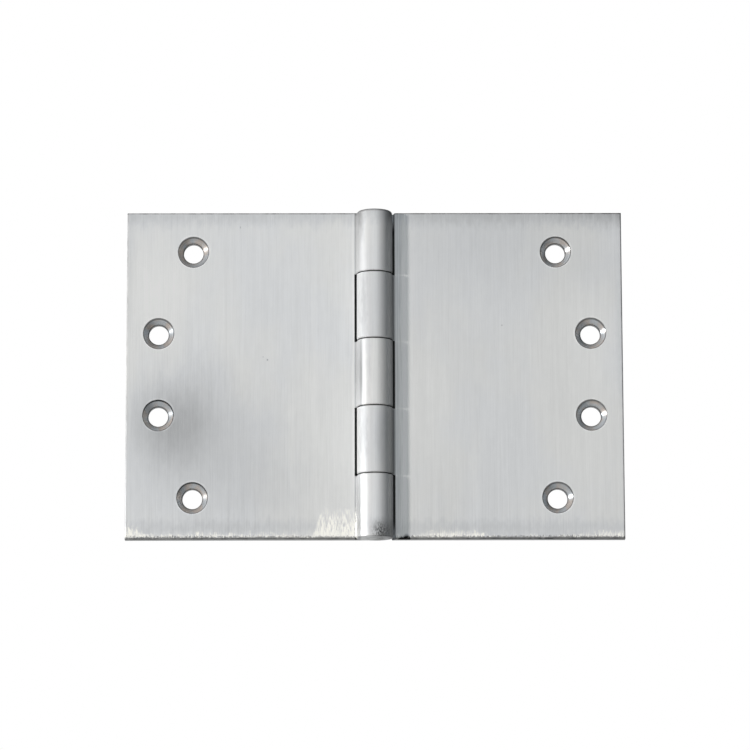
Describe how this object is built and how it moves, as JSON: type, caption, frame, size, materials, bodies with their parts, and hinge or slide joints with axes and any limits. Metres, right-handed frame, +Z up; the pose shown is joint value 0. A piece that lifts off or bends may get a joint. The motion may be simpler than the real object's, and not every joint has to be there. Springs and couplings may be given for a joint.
{
  "type": "door hinge",
  "caption": "Broad butt hinge opened flat: two wide plain leaves with interlocking knuckles on a fixed pin and zigzag countersunk screw holes.",
  "frame": {"origin": "on the pin's axis, halfway up the barrel; both leaves opened flat", "axes": "+Z up the pin, +X from the three-knuckle frame leaf to the two-knuckle door leaf, -Y out of the countersunk front faces"},
  "size_m": [0.15, 0.0108, 0.1],
  "materials": {
    "frame_leaf_metal": "satin",
    "door_leaf_metal": "satin",
    "pin_metal": "satin"
  },
  "bodies": {
    "frame_leaf": {"leaf_three_knuckle": "frame_leaf_metal", "hinge_pin": "pin_metal"},
    "door_leaf": {"leaf_two_knuckle": "door_leaf_metal"}
  },
  "joints": [
    {"name": "door_swing", "type": "hinge", "parent": "frame_leaf", "child": "door_leaf", "pos_m": [0, 0, 0], "axis": [0, 0, 1], "range_deg": [-180, 80]}
  ]
}
